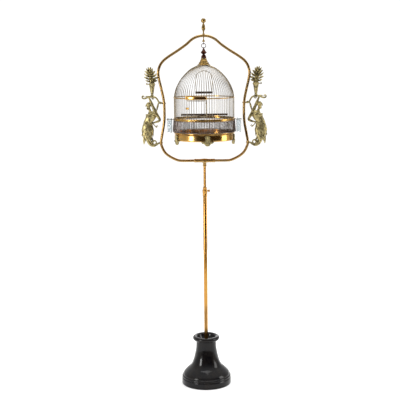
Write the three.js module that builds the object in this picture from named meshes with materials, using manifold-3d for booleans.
// A Victorian brass bird cage that hangs in a lyre shaped frame on a telescopic floor stand.
// Millimetres, +Z up, the floor at z = 0, the frame lies in the XZ plane and the door faces -Y.
import * as THREE from 'three';
import { mergeVertices } from 'three/addons/utils/BufferGeometryUtils.js';
import Module from 'manifold-3d';

const wasm = await Module();
wasm.setup();

// Clearances
const seatGap = 0.3; // between two pieces that touch
const slideGap = 0.3; // round a rod, shank or pin in its hole, on the radius
const liftGap = 0.5; // round a cup in its hoop, on the radius
const figureGap = 1.8; // between a figure or its screw and the bent tube
const waistGap = 4.5; // between a cup's hoop and the frame tube

// Stand
const baseHeight = 245;
const baseRadius = 123.6;
const baseWall = 8;
const wellDepth = 38;
const hubLength = 35;
const poleRadius = 9.5;
const poleWall = 1.2;
const poleTop = 975;
const poleStub = 22; // pole below the hub, for the washer and nut
const rodRadius = 6.35;
const rodWall = 1;
const rodInPole = 275; // rod inside the pole at the stored height
const rodShown = 103; // rod between the collar and the socket at the stored height
const collarSkirt = 17; // collar below the pole's top
const collarRise = 27; // collar above the pole's top
const collarRadius = 12;
const thumbShankRadius = 2;
const thumbRise = 8; // thumb screw above the pole's top

// Frame
const tubeRadius = 6.5;
const tubeWall = 1;
const teeHalf = 50;
const teeWall = 2;
const teeDrop = 28; // socket below the frame tube's centre
const undersideGap = 83; // cage feet above the frame tube's bottom centre

// Cage
const cageRadius = 146; // centre of the wires
const wireSize = 2;
const wireCount = 36;
const goreCount = 6;
const firstWire = -35; // degrees from -Y towards +X
const domeHeight = 154;
const capHeight = 34;
const capRadius = 31.5;
const capTopRadius = 13.5;
const capWall = 1.2;
const bandWall = 2;
const midBandHeight = 5;
const lowerBandHeight = 11.5;
const lowerBandBottom = 56; // above the tray rim
const guardFlare = 3.8;
const guardWall = 1.2;
const trayHeight = 40;
const trayWall = 1.5;
const footDrop = 20;
const footPlateDrop = 9; // top of a foot's plate below the tray rim
const footCount = 5;
const footTurn = 5.5; // degrees from -Y towards +X, of the front foot
const finialHeight = 46;
const finialRadius = 14.5;
const pinRadius = 2;
const ringRadius = 10.5;
const hookWire = 1.5;

// Door
const doorFrom = -35; // degrees, the wire on its free side
const doorTo = 5; // degrees, the wire on its hinge side
const doorSill = 14.5; // opening above the lower band
const doorHead = 10; // opening below the mid band
const doorHeight = 74;
const doorRodRadius = 1.4;

// Perches, swing and cups
const perchRadius = 5;
const perchBack = 80;
const perchRise = 77; // above the tray rim
const swingHalf = 39;
const swingDrop = 105;
const swingTop = 26; // bail's pivot below the top of the dome
const swingWire = 1.2;
const cupHeight = 76;
const cupDepth = 12.2; // half of it, away from the cage
const cupWidth = 18.5; // half of it, along the cage
const cupWall = 2;
const cupLift = 6; // cup's foot below the tray rim
const cupHoopDrop = 10; // hoop below the top of the cup
const hoopWire = 1.2;

// Heights that follow, in the cage's own frame from the soles of the tray's feet
const trayTop = footDrop + trayHeight;
const doorBottom = lowerBandBottom + lowerBandHeight + doorSill; // above the tray rim
const midBandZ = trayTop + doorBottom + doorHeight + doorHead;
const domeTop = midBandZ + domeHeight;
const capBottom = domeTop + seatGap;
const capTop = capBottom + capHeight;
const eyeZ = capTop + seatGap + finialHeight + hookWire + slideGap;
const ringZ = eyeZ + ringRadius;
const ringTop = ringZ + ringRadius;
const hookEye = 2 * hookWire + slideGap; // from a hooked wire's centre to the hook's own
const bellBottom = ringTop + 8;
const bellHeight = 9;
const hangerDrop = 20; // from the frame tube's top centre to the bell
const frameTop = undersideGap + bellBottom + bellHeight + hangerDrop;

// Heights that follow, from the floor
const collarTop = poleTop + collarRise;
const frameZ = collarTop + rodShown + teeDrop;

// Widths that follow
const bandInner = cageRadius + wireSize / 2 + seatGap;
const bandOuter = bandInner + bandWall;
const guardTopRadius = bandOuter + guardWall;
const guardBottomRadius = guardTopRadius + guardFlare;
const cupReach = cupDepth + liftGap + hoopWire; // cup's centre to its hoop's centre line
const cupCentre = guardBottomRadius + seatGap + cupReach;
const frameWaist = cupCentre + cupReach + hoopWire + waistGap + tubeRadius;

const finishes = {
  brass: { color: 0xb08a4a, roughness: 0.3, metalness: 1 },
  polishedBrass: { color: 0xc9a055, roughness: 0.18, metalness: 1 },
  agedBrass: { color: 0x8a7440, roughness: 0.42, metalness: 1 },
  wire: { color: 0x8f8671, roughness: 0.4, metalness: 1 },
  darkPatina: { color: 0x3a2018, roughness: 0.45, metalness: 0.6 },
  blackEnamel: { color: 0x0b0b0c, roughness: 0.12, metalness: 0 },
  iron: { color: 0x4a4744, roughness: 0.5, metalness: 1 },
  guardMesh: { color: 0x6a5f60, roughness: 0.6, metalness: 0.5 },
  glass: { color: 0xe8efee, roughness: 0.05, metalness: 0 },
  darkWood: { color: 0x241812, roughness: 0.55, metalness: 0 },
};

// Shape helpers

function closedMesh(geometry) {
  const bare = geometry.clone();
  bare.deleteAttribute('uv');
  bare.deleteAttribute('normal');
  const merged = mergeVertices(bare, 1e-4);
  const source = merged.index.array;
  const kept = [];
  for (let i = 0; i < source.length; i += 3) {
    const [a, b, c] = source.slice(i, i + 3);
    if (a !== b && b !== c && c !== a) kept.push(a, b, c);
  }
  if (signedVolume(merged.attributes.position, kept) < 0) kept.reverse();
  merged.setIndex(kept);
  return merged;
}

function signedVolume(position, index) {
  const [a, b, c] = [new THREE.Vector3(), new THREE.Vector3(), new THREE.Vector3()];
  let sum = 0;
  for (let i = 0; i < index.length; i += 3) {
    a.fromBufferAttribute(position, index[i]);
    b.fromBufferAttribute(position, index[i + 1]);
    c.fromBufferAttribute(position, index[i + 2]);
    sum += a.dot(b.cross(c));
  }
  return sum / 6;
}

function solid(geometry) {
  const mesh = closedMesh(geometry);
  const vertProperties = new Float32Array(mesh.attributes.position.array);
  const triVerts = new Uint32Array(mesh.index.array);
  return new wasm.Manifold(new wasm.Mesh({ numProp: 3, vertProperties, triVerts }));
}

function join(...geometries) {
  return geometries.slice(1).reduce((sum, geometry) => sum.add(solid(geometry)), solid(geometries[0]));
}

function cut(body, ...tools) {
  return tools.reduce((rest, tool) => rest.subtract(solid(tool)), body);
}

function geometryOf(body) {
  const { vertProperties, triVerts, numProp } = body.getMesh();
  const position = new Float32Array((vertProperties.length / numProp) * 3);
  for (let i = 0; i < position.length / 3; i += 1) {
    position.set(vertProperties.subarray(i * numProp, i * numProp + 3), i * 3);
  }
  const geometry = new THREE.BufferGeometry();
  geometry.setAttribute('position', new THREE.BufferAttribute(position, 3));
  geometry.setIndex(Array.from(triVerts));
  return geometry;
}

// A turned shape: points are [radius, height]
function turned(points, sides) {
  const profile = points.map(([radius, height]) => new THREE.Vector2(radius, height));
  return new THREE.LatheGeometry(profile, sides).rotateX(Math.PI / 2);
}

function turnedRing(points, sides) {
  return turned([...points, points[0]], sides);
}

function rectangleRing(inner, outer, low, high, sides) {
  return turnedRing([[inner, low], [outer, low], [outer, high], [inner, high]], sides);
}

function disc(radius, low, high, sides) {
  return turned([[0, low], [radius, low], [radius, high], [0, high]], sides);
}

function circle(radius, sides) {
  const corners = [];
  for (let i = 0; i < sides; i += 1) {
    const angle = (2 * Math.PI * i) / sides;
    corners.push(new THREE.Vector2(radius * Math.cos(angle), radius * Math.sin(angle)));
  }
  return new THREE.Shape(corners);
}

// A round wire or rod through points in the XZ plane, or [x, z, y] points off it
function bentRod(points, radius, sides, steps) {
  const corners = points.map(([x, z, y = 0]) => new THREE.Vector3(x, y, z));
  const path = new THREE.CatmullRomCurve3(corners, false, 'centripetal');
  return new THREE.ExtrudeGeometry(circle(radius, sides), { steps, bevelEnabled: false, extrudePath: path });
}

function straightRod(from, to, radius, sides) {
  const [start, end] = [new THREE.Vector3(...from), new THREE.Vector3(...to)];
  const axis = end.clone().sub(start);
  const rod = new THREE.CylinderGeometry(radius, radius, axis.length(), sides);
  rod.applyQuaternion(new THREE.Quaternion().setFromUnitVectors(new THREE.Vector3(0, 1, 0), axis.normalize()));
  return rod.translate(...start.add(end).multiplyScalar(0.5));
}

function ball(x, z, radius, sides = 8) {
  return new THREE.SphereGeometry(radius, sides, Math.round(sides * 0.6)).translate(x, 0, z);
}

function egg(x, z, halfX, halfY, halfZ) {
  const shape = new THREE.SphereGeometry(1, 8, 6).rotateX(Math.PI / 2);
  return shape.scale(halfX, halfY, halfZ).translate(x, 0, z);
}

function toRadians(degrees) {
  return (degrees * Math.PI) / 180;
}

// A point on a circle round the cage: azimuth in degrees from -Y towards +X
function around(azimuth, radius) {
  return [radius * Math.sin(toRadians(azimuth)), -radius * Math.cos(toRadians(azimuth))];
}

// A curved plate round the cage between two azimuths
function arcPlate(inner, outer, low, high, from, to) {
  const [start, end] = [toRadians(from - 90), toRadians(to - 90)];
  const shape = new THREE.Shape();
  shape.absarc(0, 0, outer, start, end, false);
  shape.absarc(0, 0, inner, end, start, true);
  const curveSegments = Math.max(2, Math.round((to - from) / 10));
  const plate = new THREE.ExtrudeGeometry(shape, { depth: high - low, bevelEnabled: false, curveSegments });
  return plate.translate(0, 0, low);
}

// A flat outline of [x, z] points with its thickness centred on the XZ plane
function plateXZ(outline, thickness) {
  const shape = new THREE.Shape(outline.map(([x, z]) => new THREE.Vector2(x, z)));
  const plate = new THREE.ExtrudeGeometry(shape, { depth: thickness, bevelEnabled: false });
  return plate.translate(0, 0, -thickness / 2).rotateX(Math.PI / 2);
}

// Scene

const root = new THREE.Group();
const standGroup = new THREE.Group();
const frameGroup = new THREE.Group();
const cageGroup = new THREE.Group();
frameGroup.position.z = frameZ;
cageGroup.position.z = undersideGap;
root.add(standGroup);
standGroup.add(frameGroup);
frameGroup.add(cageGroup);

function place(group, name, shape, finish) {
  const geometry = shape.isBufferGeometry ? closedMesh(shape) : geometryOf(shape);
  const mesh = new THREE.Mesh(geometry, new THREE.MeshStandardMaterial({ name: finish, ...finishes[finish] }));
  mesh.name = name;
  group.add(mesh);
  return mesh;
}

// Stand

const boreRadius = poleRadius + slideGap;
const wellFloor = baseHeight - wellDepth;
const hubBottom = wellFloor - hubLength;

// The bell shaped foot: plinth, swept shoulder, tall neck, rolled top and a dished well round the pole
function baseCasting() {
  const neck = baseRadius * 0.405;
  const rollRadius = 11.5;
  const rollCentre = [neck + 5.5, baseHeight - rollRadius];
  const outside = [
    [baseRadius - 2, 0], [baseRadius, 5], [baseRadius, 30], [baseRadius - 2.5, 34], [baseRadius - 1, 40],
    [baseRadius - 6, 51], [baseRadius - 17, 65], [baseRadius - 27, 76], [baseRadius - 43, 88],
    [baseRadius - 54, 106], [baseRadius - 62, 130], [baseRadius - 69, 160], [neck, wellFloor - 5],
  ];
  const roll = [-140, -82, -24, 34, 92, 150].map((turn) => [
    rollCentre[0] + rollRadius * Math.cos(toRadians(turn)),
    rollCentre[1] + rollRadius * Math.sin(toRadians(turn)),
  ]);
  const well = [
    [neck * 0.66, wellFloor + 6], [boreRadius + 6, wellFloor], [boreRadius, wellFloor], [boreRadius, hubBottom],
  ];
  const inside = outside.slice(1, -1).reverse().map(([radius, height]) => [radius - baseWall, height - 2]);
  const hub = [[boreRadius + 14, hubBottom], [boreRadius + 20, hubBottom + 12]];
  return turnedRing([...outside, ...roll, ...well, ...hub, ...inside, [baseRadius - baseWall - 2, 0]], 20);
}

function baseWasher() {
  return rectangleRing(boreRadius, 19, hubBottom - 2.8, hubBottom - seatGap, 20);
}

function baseNut() {
  const [low, high] = [hubBottom - 12, hubBottom - 3.1];
  const hole = straightRod([0, 0, low - 1], [0, 0, high + 1], boreRadius, 20);
  return cut(solid(disc(16, low, high, 6)), hole);
}

function lowerPole() {
  return rectangleRing(poleRadius - poleWall, poleRadius, hubBottom - poleStub, poleTop, 20);
}

function collar() {
  const bore = rodRadius + slideGap;
  const bottom = poleTop - collarSkirt;
  const screwZ = poleTop + thumbRise;
  const profile = [
    [boreRadius, bottom], [boreRadius + 1.2, bottom], [boreRadius + 1.2, poleTop - 4],
    [collarRadius - 0.6, poleTop + 1], [collarRadius, poleTop + 5], [collarRadius, poleTop + 11],
    [collarRadius - 1, poleTop + 14], [collarRadius - 3, poleTop + 17], [collarRadius - 2, poleTop + 20], [collarRadius - 2, poleTop + 24],
    [collarRadius - 4, collarTop], [bore, collarTop], [bore, poleTop + seatGap],
    [boreRadius, poleTop + seatGap],
  ];
  const hole = straightRod([0, 0, screwZ], [collarRadius + 5, 0, screwZ], thumbShankRadius + slideGap, 10);
  return cut(solid(turnedRing(profile, 14)), hole);
}

function thumbScrew() {
  const z = poleTop + thumbRise;
  const headStart = collarRadius + 2;
  const shank = straightRod([rodRadius + seatGap, 0, z], [headStart + 1, 0, z], thumbShankRadius, 12);
  const collarFace = straightRod([headStart, 0, z], [headStart + 2.5, 0, z], 4.5, 14);
  const wing = new THREE.CylinderGeometry(6.5, 6.5, 2.4, 14).scale(0.75, 1, 1).translate(headStart + 6.5, 0, z);
  return join(shank, collarFace, wing);
}

function upperRod() {
  const top = frameZ - tubeRadius - teeWall - 2;
  return rectangleRing(rodRadius - rodWall, rodRadius, poleTop - rodInPole, top, 16);
}

function rodBush() {
  const bottom = poleTop - rodInPole + 3;
  return rectangleRing(rodRadius + seatGap, poleRadius - poleWall - slideGap, bottom, bottom + 18, 16);
}

place(standGroup, 'base_casting', baseCasting(), 'blackEnamel');
place(standGroup, 'base_washer', baseWasher(), 'iron');
place(standGroup, 'base_nut', baseNut(), 'iron');
place(standGroup, 'lower_pole', lowerPole(), 'brass');
place(standGroup, 'collar', collar(), 'brass');
place(standGroup, 'thumb_screw', thumbScrew(), 'brass');
place(standGroup, 'upper_rod', upperRod(), 'brass');
place(standGroup, 'rod_bush', rodBush(), 'brass');

// Frame: the tube's right half as [x, z] at a waist of outlineWaist and a height of outlineTop
const outlineWaist = 193.6;
const outlineTop = 605;
const frameOutline = [
  [teeHalf, 0], [100, 0], [127, 2], [152, 12], [176, 26], [194, 43], [206, 66], [211.8, 90],
  [205.5, 131], [197, 178], [193.6, 212], [193.6, 268], [197, 306], [206, 350], [216, 394],
  [220.5, 428], [214, 459], [197, 485], [168, 508], [124, 536], [84, 564], [56, 588], [28, 601.5],
];

function framePath() {
  const half = frameOutline.map(([x, z]) => [(x * frameWaist) / outlineWaist, (z * frameTop) / outlineTop]);
  const right = [[2, 0], ...half];
  const left = right.map(([x, z]) => [-x, z]).reverse();
  const points = [...right, [0, frameTop], ...left].map(([x, z]) => new THREE.Vector3(x, 0, z));
  return new THREE.CatmullRomCurve3(points, false, 'centripetal');
}

const frameCurve = framePath();
const frameSamples = frameCurve.getSpacedPoints(600).slice(0, 300);

// Distance of the tube's centre from the axis at a height, on the way up past the waist
function frameReach(z) {
  const beyond = frameSamples.find((point) => point.z >= z);
  return beyond.x;
}

// Figures: points are [out, up] from the frame's outer face at the upper stud
const studZ = (283 * frameTop) / outlineTop;
const tailDrop = 193;
const tailZ = studZ - tailDrop;
const figureFoot = frameReach(studZ) + tubeRadius;
const tailFoot = frameReach(tailZ) + tubeRadius + figureGap - figureFoot;
const screwRadius = 1.6;

function frameTube() {
  const section = circle(tubeRadius, 8);
  section.holes.push(circle(tubeRadius - tubeWall, 6));
  const tube = new THREE.ExtrudeGeometry(section, { steps: 62, bevelEnabled: false, extrudePath: frameCurve });
  const holes = [straightRod([0, 0, frameTop - 15], [0, 0, frameTop + 15], hangerRadius + slideGap, 10)];
  for (const side of [-1, 1]) {
    for (const z of [studZ, tailZ]) {
      const x = frameReach(z);
      holes.push(straightRod([side * (x - 12), 0, z], [side * (x + 12), 0, z], screwRadius + slideGap, 8));
    }
  }
  return cut(solid(tube), ...holes);
}

function teeSocket() {
  const outer = tubeRadius + slideGap + teeWall;
  const sleeve = straightRod([-teeHalf, 0, 0], [teeHalf, 0, 0], outer, 16);
  const socket = turned([
    [0, -teeDrop], [rodRadius + 2.4, -teeDrop], [rodRadius + 3.6, -teeDrop + 3],
    [rodRadius + 2.4, -teeDrop + 7], [rodRadius + 3, -tubeRadius - 4], [rodRadius + 5, 0], [0, 0],
  ], 16);
  const tubeBore = straightRod([-teeHalf - 1, 0, 0], [teeHalf + 1, 0, 0], tubeRadius + slideGap, 16);
  const rodStop = -tubeRadius - teeWall - 1.5;
  const rodBore = straightRod([0, 0, -teeDrop - 1], [0, 0, rodStop], rodRadius + slideGap, 16);
  return cut(join(sleeve, socket), tubeBore, rodBore);
}

// One cast figure: a swimmer rising from a leafy skirt, with a scrolled tail and a scroll overhead
function figure(side) {
  const spot = ([out, up]) => [figureFoot + out, studZ + up];
  const at = (points) => points.map(spot);
  const skirtProfile = [
    [0, -92], [18, -96], [26.7, -111], [30, -128], [26.7, -150], [18.3, -167], [8, -178], [0, -178],
  ];
  const skirt = turned(skirtProfile, 10).scale(1, 0.65, 1).translate(figureFoot + 74, 0, studZ);
  const bracketScroll = [
    [figureGap, 0], [10, 0], [19, 5], [25, 20], [39, 30], [55, 31.5], [68, 30], [80, 26], [88, 24],
  ];
  const tail = [[74, -168], [71, -190], [60, -206], [44, -210], [31, -201], [tailFoot, -tailDrop]];
  const parts = [
    bentRod(at(bracketScroll), 4, 6, 10),
    egg(...spot([11, 2]), 9, 7, 8),
    ball(...spot([93, 31]), 7.5),
    ball(...spot([46, 28]), 7),
    bentRod(at([[19, 4], [21, -20], [29, -44]]), 3.5, 5, 4),
    bentRod(at([[66, 32], [50, -6], [32, -46]]), 6.5, 6, 4),
    egg(...spot([68, -11]), 15, 13, 20),
    bentRod(at([[67, -22], [60, -44]]), 7, 6, 1),
    egg(...spot([57, -62]), 25, 14, 20),
    egg(...spot([68, -80]), 20, 13, 18),
    egg(...spot([75, -94]), 18, 12, 15),
    bentRod(at([[34, -50], [21, -68], [14, -82], [29, -90], [48, -95]]), 5.5, 6, 5),
    bentRod(at([[48, -97], [35, -112], [27, -119], [19, -114], [25, -108]]), 3, 5, 5),
    skirt,
    ball(...spot([101, -154]), 5, 6),
    bentRod(at([[88, -148], [94, -172], [98, -192], [97, -206]]), 4, 5, 3),
    bentRod(at(tail), 4.5, 6, 8),
    new THREE.TorusGeometry(12.5, 3.8, 5, 12).rotateX(Math.PI / 2).translate(figureFoot + 43, 0, studZ - 192),
  ];
  const bores = [[0, 0], [tailFoot, -tailDrop]].map(([out, up]) => straightRod(
    [figureFoot + out - 4, 0, studZ + up],
    [figureFoot + out + 8, 0, studZ + up],
    screwRadius + slideGap,
    6,
  ));
  const casting = geometryOf(cut(join(...parts), ...bores));
  return casting.scale(side, 1, 1);
}

// The horn held over each figure, with its spray of pointed leaves
function horn(side) {
  const cup = turned([[0, 0], [6, 0], [7, 8], [8.5, 30], [12, 52], [20, 60], [21, 66], [12, 68], [0, 68]], 12);
  const spray = plateXZ([
    [-9, 62], [-13, 90], [-16, 103], [-9, 104], [-4, 124], [2, 118], [6, 132], [18, 147], [21, 124],
    [29, 119], [29, 106], [43, 103], [32, 92], [13, 62],
  ], 9);
  const foot = [figureFoot + 49, studZ + 37];
  return geometryOf(join(cup, spray)).translate(foot[0], 0, foot[1]).scale(side, 1, 1);
}

function figureScrew(side, z) {
  const inner = frameReach(z) - tubeRadius - figureGap;
  const head = straightRod([side * (inner - 2.2), 0, z], [side * inner, 0, z], 3.4, 10);
  const tip = inner + 2 * tubeRadius + 6;
  const shank = straightRod([side * (inner - 1), 0, z], [side * tip, 0, z], screwRadius, 8);
  return join(head, shank);
}

const hangerRadius = 2.5;

function topFinial() {
  const bottom = frameTop + tubeRadius + seatGap;
  const bore = hangerRadius + slideGap;
  const profile = [
    [0, 12], [bore, 12], [bore, 0], [6, 0], [6, 2], [3.6, 4], [3.6, 13], [5, 17],
    [8.4, 22], [9, 29], [8, 38], [5, 48], [3.4, 50], [4, 52], [9, 55], [12, 63.5], [10.8, 70], [6, 75], [0, 76],
  ];
  return turned(profile.map(([radius, height]) => [radius, bottom + height]), 12);
}

function hangerRod() {
  const bottom = undersideGap + bellBottom;
  const top = frameTop + tubeRadius + 11;
  const profile = [
    [0, bottom], [5.5, bottom], [7, bottom + 1.5], [7, bottom + 4], [4, bottom + bellHeight],
    [hangerRadius, bottom + bellHeight], [hangerRadius, top], [0, top],
  ];
  return turned(profile, 12);
}

// A hook in the YZ plane whose curl wraps a wire that runs along X through z
function curledHook(top, z, wire, reach) {
  const side = reach * Math.SQRT1_2;
  const points = [
    [0, top, 0], [0, z + reach * 2, 0], [0, z + side * 1.5, side], [0, z, reach],
    [0, z - side, side], [0, z - reach, 0], [0, z - side, -side], [0, z + 0.4 * reach, -reach],
  ];
  return bentRod(points, wire, 6, 16);
}

place(frameGroup, 'tee_socket', teeSocket(), 'brass');
place(frameGroup, 'frame_tube', frameTube(), 'brass');
for (const [word, side] of [['left', -1], ['right', 1]]) {
  place(frameGroup, `figure_${word}`, figure(side), 'agedBrass');
  place(frameGroup, `horn_${word}`, horn(side), 'agedBrass');
  place(frameGroup, `figure_screw_${word}_upper`, figureScrew(side, studZ), 'brass');
  place(frameGroup, `figure_screw_${word}_lower`, figureScrew(side, tailZ), 'brass');
}
place(frameGroup, 'top_finial', topFinial(), 'agedBrass');
place(frameGroup, 'hanger_rod', hangerRod(), 'brass');
const hookTop = undersideGap + bellBottom - seatGap;
place(frameGroup, 'hook', curledHook(hookTop, undersideGap + ringTop, hookWire, hookEye), 'darkPatina');

// Cage, from the top down

function hangingRing() {
  return new THREE.TorusGeometry(ringRadius, hookWire, 6, 16).rotateX(Math.PI / 2).translate(0, 0, ringZ);
}

function cageFinial() {
  const low = capTop + seatGap;
  const headTop = capTop - capWall - 1.5;
  const body = turned([
    [0, low], [12, low], [13, low + 3], [12, low + 11], [6, low + 15], [6, low + 17], [finialRadius, low + 26],
    [8, low + 36], [5, low + 42], [3, low + finialHeight], [0, low + finialHeight],
  ], 12);
  const pin = straightRod([0, 0, headTop - 2], [0, 0, low + 2], pinRadius, 10);
  const head = disc(4.5, headTop - 3.5, headTop, 10);
  const eye = new THREE.TorusGeometry(hookEye, hookWire, 6, 12).rotateY(Math.PI / 2).translate(0, 0, eyeZ);
  const neck = straightRod([0, 0, low + finialHeight - 2], [0, 0, eyeZ - hookEye], 1.8, 8);
  return join(body, pin, head, eye, neck);
}

function domeCap() {
  const outside = [
    [capRadius, 0], [capRadius - 1, 3], [capRadius - 7, 8], [capRadius - 8.5, 14],
    [capRadius - 13, 18], [capRadius - 14.5, 25], [capTopRadius, capHeight],
  ];
  const inside = outside.slice(1, -1).reverse().map(([radius, height]) => [radius - capWall, height - capWall]);
  const bore = pinRadius + slideGap;
  const profile = [
    ...outside, [bore, capHeight], [bore, capHeight - capWall], ...inside, [capRadius - 2, 0],
  ];
  return turnedRing(profile.map(([radius, height]) => [radius, capBottom + height]), 16);
}

const crownOuter = capRadius - 1;
const crownInner = crownOuter - 3.5;
const crownHeight = 4;

function crownPlate() {
  const top = domeTop - 0.5;
  const plate = disc(crownInner - seatGap, top - 2, top, 20);
  const reach = 2 * swingWire + slideGap;
  return join(plate, curledHook(top - 1, domeTop - swingTop, swingWire, reach));
}

// Wires: the dome's profile as shares of the cage's radius and of the dome's height
const domeProfile = [[1, 0], [0.966, 0.182], [0.875, 0.4], [0.71, 0.64], [0.46, 0.87]];

function wirePath() {
  const half = wireSize / 2;
  const dome = domeProfile.map(([radius, height]) => [cageRadius * radius, midBandZ + domeHeight * height]);
  const path = [[cageRadius, trayTop + seatGap + 1], ...dome, [crownOuter - 1, domeTop - half]];
  return path.map(([x, z]) => new THREE.Vector2(x, z));
}

// A square wire in the XZ plane, offset each way from its path
function wireBar() {
  const path = wirePath();
  const half = wireSize / 2;
  const normals = path.map((point, i) => {
    const before = path[Math.max(0, i - 1)];
    const after = path[Math.min(path.length - 1, i + 1)];
    const along = after.clone().sub(before).normalize();
    return new THREE.Vector2(along.y, -along.x).multiplyScalar(half);
  });
  const outside = path.map((point, i) => point.clone().add(normals[i]));
  const inside = path.map((point, i) => point.clone().sub(normals[i])).reverse();
  return plateXZ([...outside, ...inside].map((point) => [point.x, point.y]), wireSize);
}

const goreAngle = 360 / goreCount;
const wireAngle = 360 / wireCount;
const doorOpeningLow = trayTop + doorBottom;
const doorOpeningHigh = doorOpeningLow + doorHeight;
const doorRail = 3;

function wireGore(number) {
  const start = firstWire + number * goreAngle - wireAngle / 2 + 0.3;
  const end = start + goreAngle - 0.6;
  const [inner, outer] = [cageRadius - wireSize / 2, cageRadius + wireSize / 2];
  const parts = [
    arcPlate(inner - 1, outer, trayTop + seatGap, trayTop + seatGap + 2.5, start, end),
    arcPlate(crownInner, crownOuter, domeTop - crownHeight, domeTop - 0.3, start, end),
  ];
  for (let i = 0; i < wireCount / goreCount; i += 1) {
    const azimuth = firstWire + number * goreAngle + i * wireAngle;
    parts.push(wireBar().rotateZ(toRadians(azimuth - 90)));
  }
  const gore = join(...parts);
  if (number > 0) return gore;
  const opening = arcPlate(inner - 2, outer + 2, doorOpeningLow, doorOpeningHigh, doorFrom + 1, doorTo - 1);
  const sill = arcPlate(inner, outer, doorOpeningLow - doorRail, doorOpeningLow, doorFrom, doorTo);
  const lintel = arcPlate(inner, outer, doorOpeningHigh, doorOpeningHigh + doorRail, doorFrom, doorTo);
  return cut(gore, opening).add(solid(sill)).add(solid(lintel));
}

const hingeAzimuth = doorTo - 1;
const hingeRadius = bandOuter + doorRodRadius;

// The door: a curved rim and wires, with two knuckles round the hinge rod
function door() {
  const [from, to] = [doorFrom + 1, doorTo - 1.2];
  const [low, high] = [doorOpeningLow + 0.8, doorOpeningHigh - 0.8];
  const [inner, outer] = [cageRadius - wireSize / 2, cageRadius + wireSize / 2];
  const barAngle = 0.8;
  const parts = [
    arcPlate(inner, outer, low, low + 2.5, from, to),
    arcPlate(inner, outer, high - 2.5, high, from, to),
    arcPlate(inner, outer, low, high, from, from + barAngle),
    arcPlate(inner, outer, low, high, to - barAngle, to),
  ];
  for (let azimuth = doorFrom + wireAngle; azimuth < doorTo; azimuth += wireAngle) {
    parts.push(arcPlate(inner + 0.2, outer - 0.2, low, high, azimuth - barAngle / 3, azimuth + barAngle / 3));
  }
  const [x, y] = around(hingeAzimuth, hingeRadius);
  const bores = [];
  for (const z of [low + 10, high - 10]) {
    parts.push(straightRod([x, y, z - 3], [x, y, z + 3], doorRodRadius + 1.6, 12));
    parts.push(arcPlate(outer - 1.5, hingeRadius, z - 2, z + 2, to - 1.5, to - 0.1));
    bores.push(straightRod([x, y, z - 4], [x, y, z + 4], doorRodRadius + slideGap, 12));
  }
  return cut(join(...parts), ...bores);
}

function doorHingeRod() {
  const [x, y] = around(hingeAzimuth, hingeRadius);
  return straightRod([x, y, doorOpeningLow - 6], [x, y, doorOpeningHigh - 0.5], doorRodRadius, 10);
}

function doorCatch() {
  const z = (doorOpeningLow + doorOpeningHigh) / 2;
  const from = doorFrom + 1.2;
  const outer = cageRadius + wireSize / 2 + seatGap;
  return join(
    arcPlate(outer, outer + 1.5, z - 5, z + 5, from - 2.4, from + 4),
    straightRod([...around(from + 2, outer + 1), z], [...around(from + 2, outer + 6), z], 2, 8),
  );
}

// The mesh skirt that keeps seed in: a thin flared shell
function seedGuard() {
  const low = trayTop + seatGap * 2;
  const high = trayTop + lowerBandBottom - seatGap;
  return turnedRing([
    [guardBottomRadius - guardWall, low], [guardBottomRadius, low], [guardTopRadius, high],
    [guardTopRadius - guardWall, high],
  ], 36);
}

function tray() {
  const wall = cageRadius;
  const rim = wall + 3.5;
  const low = footDrop;
  const inside = wall - trayWall;
  return turned([
    [0, low], [wall - 6, low], [wall - 1.5, low + 2], [wall, low + 6], [wall, trayTop - 7],
    [rim - 0.5, trayTop - 6], [rim, trayTop - 3], [rim - 1, trayTop], [inside, trayTop],
    [inside, low + 5], [wall - 7, low + trayWall], [0, low + trayWall],
  ], 36);
}

// A cast bracket foot: a tall plate against the tray's wall, winged at the edge, with a paw under it
function trayFoot(azimuth) {
  const face = cageRadius + seatGap;
  const top = trayTop - footPlateDrop;
  const outline = [
    [-31, 21], [-24, 23], [-17, 21], [-13, 27], [-11, 36], [-13, top - 5], [-6, top - 1], [0, top],
    [6, top - 1], [13, top - 5], [11, 36], [13, 27], [17, 21], [24, 23], [31, 21], [24, 13], [16, 11],
    [9, 4], [-9, 4], [-16, 11], [-24, 13],
  ];
  const plate = plateXZ(outline, 3.6).translate(0, -face - 2.6, 0);
  const curved = plate.attributes.position;
  for (let i = 0; i < curved.count; i += 1) {
    const x = curved.getX(i);
    curved.setY(i, curved.getY(i) + face - Math.sqrt(face * face - x * x));
  }
  const pawHalf = (footDrop - seatGap - 1) / 2;
  const paw = new THREE.SphereGeometry(1, 10, 6).rotateX(Math.PI / 2).scale(11, 6.5, pawHalf);
  paw.translate(0, 4 - face, 1 + pawHalf);
  const sole = new THREE.BoxGeometry(9, 7, 2.5).translate(0, 4 - face, 1.25);
  const neck = new THREE.BoxGeometry(14, 6, 7).translate(0, 1 - face, footDrop - 4.5);
  return geometryOf(join(plate, paw, sole, neck)).rotateZ(toRadians(azimuth));
}

function longPerch() {
  const half = Math.sqrt((cageRadius - 2) ** 2 - (perchBack + perchRadius) ** 2) - 0.5;
  const z = trayTop + perchRise;
  return straightRod([-half, perchBack, z], [half, perchBack, z], perchRadius, 12);
}

// Swing: a wire bail over a dowel
const pivotZ = domeTop - swingTop;
const swingPerchZ = pivotZ - swingDrop;

function swingBail() {
  const side = [[swingHalf, 0], [swingHalf + 1, 34], [swingHalf - 1, 74], [swingHalf - 11, 95], [14, 102.5]];
  const drawnDrop = 105;
  const right = side.map(([x, z]) => [x, swingPerchZ + perchRadius + 1 + ((z - 6) * swingDrop) / drawnDrop]);
  const points = [...right, [0, pivotZ], ...right.map(([x, z]) => [-x, z]).reverse()];
  return bentRod(points, swingWire, 5, 24);
}

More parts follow.
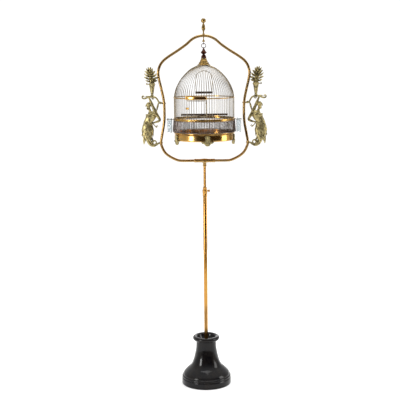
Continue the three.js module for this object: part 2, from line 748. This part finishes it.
function swingPerch() {
  const end = swingHalf + 3;
  const rod = straightRod([-end, 0, swingPerchZ], [end, 0, swingPerchZ], perchRadius + 0.5, 12);
  const holes = [-1, 1].map((side) => straightRod(
    [side * swingHalf, 0, swingPerchZ - 1],
    [side * swingHalf, 0, swingPerchZ + 20],
    swingWire + slideGap,
    8,
  ));
  return cut(solid(rod), ...holes);
}

// Feed cups: a glass tumbler with a hood, open towards the cage under the hood
const cupFootZ = trayTop - cupLift;
const cupHoopZ = cupFootZ + cupHeight - cupHoopDrop;

function cupShape(inset) {
  const depth = cupDepth - inset;
  const lip = inset === 0 ? 1.9 : -0.1;
  const low = cupFootZ + inset;
  const high = cupFootZ + cupHeight - inset;
  const rest = cupHoopZ + hoopWire + seatGap;
  const shell = turned([
    [0, low], [depth - 3, low], [depth - 1.5, low + 4], [depth, low + 30], [depth, rest],
    [depth + lip, rest + 0.2], [depth + lip, rest + 2], [depth - 3, high - 2], [0, high],
  ], 12);
  return shell.scale(1, cupWidth / cupDepth, 1);
}

function glassCup(side) {
  const mouth = new THREE.BoxGeometry(cupDepth, 2 * cupWidth - 12, 6);
  mouth.translate(-cupDepth * 0.9, 0, cupHoopZ + hoopWire + 4.8);
  const cup = geometryOf(cut(solid(cupShape(0)), cupShape(cupWall), mouth));
  return cup.translate(cupCentre, 0, 0).scale(side, 1, 1);
}

function cupHoop(side) {
  const [halfX, halfY] = [cupReach, cupWidth + liftGap + hoopWire];
  const drawnWire = 0.01;
  const loop = new THREE.TorusGeometry(1, drawnWire, 5, 16);
  const position = loop.attributes.position;
  for (let i = 0; i < position.count; i += 1) {
    const [x, y, z] = [position.getX(i), position.getY(i), position.getZ(i)];
    const length = Math.hypot(x, y);
    const grow = ((length - 1) / drawnWire) * hoopWire;
    const [reachX, reachY] = [halfX + grow, halfY + grow];
    position.setXYZ(i, (x / length) * reachX, (y / length) * reachY, (z / drawnWire) * hoopWire);
  }
  loop.translate(cupCentre, 0, cupHoopZ);
  const armFrom = bandOuter + seatGap;
  const arms = [-9, 9].map((y) => straightRod(
    [armFrom + 0.4, y, cupHoopZ],
    [cupCentre - halfX * 0.86, y, cupHoopZ],
    hoopWire,
    6,
  ));
  const plate = new THREE.BoxGeometry(1.2, 26, 6).translate(armFrom + 1.3, 0, cupHoopZ);
  return geometryOf(join(loop, ...arms, plate)).scale(side, 1, 1);
}

// A flat band round the wires, with a corner at each wire
function wireBand(low, height) {
  return rectangleRing(bandInner, bandOuter, low, low + height, wireCount).rotateZ(toRadians(wireAngle / 2));
}

const lowerBandZ = trayTop + lowerBandBottom;
const midBandLow = midBandZ - midBandHeight / 2;

// The name plate over the door, left blank
function doorHeader() {
  const inner = bandOuter + seatGap;
  return arcPlate(inner, inner + 1.5, midBandLow - 3, midBandLow + 13, doorFrom - 1, doorTo - 1);
}

place(cageGroup, 'hanging_ring', hangingRing(), 'darkPatina');
place(cageGroup, 'cage_finial', cageFinial(), 'darkPatina');
place(cageGroup, 'dome_cap', domeCap(), 'agedBrass');
place(cageGroup, 'crown_plate', crownPlate(), 'agedBrass');
for (let number = 0; number < goreCount; number += 1) {
  place(cageGroup, `wire_gore_${number + 1}`, wireGore(number), 'wire');
}
place(cageGroup, 'mid_band', wireBand(midBandLow, midBandHeight), 'brass');
place(cageGroup, 'lower_band', wireBand(lowerBandZ, lowerBandHeight), 'brass');
place(cageGroup, 'door_header', doorHeader(), 'polishedBrass');
place(cageGroup, 'door', door(), 'wire');
place(cageGroup, 'door_hinge_rod', doorHingeRod(), 'wire');
place(cageGroup, 'door_catch', doorCatch(), 'brass');
place(cageGroup, 'seed_guard', seedGuard(), 'guardMesh');
place(cageGroup, 'tray', tray(), 'polishedBrass');
for (let number = 0; number < footCount; number += 1) {
  const azimuth = footTurn + (360 / footCount) * number;
  place(cageGroup, `tray_foot_${number + 1}`, trayFoot(azimuth), 'agedBrass');
}
place(cageGroup, 'long_perch', longPerch(), 'darkWood');
place(cageGroup, 'swing_bail', swingBail(), 'wire');
place(cageGroup, 'swing_perch', swingPerch(), 'darkWood');
for (const [word, side] of [['left', -1], ['right', 1]]) {
  place(cageGroup, `cup_${word}`, glassCup(side), 'glass');
  place(cageGroup, `cup_hoop_${word}`, cupHoop(side), 'wire');
}

export default root;
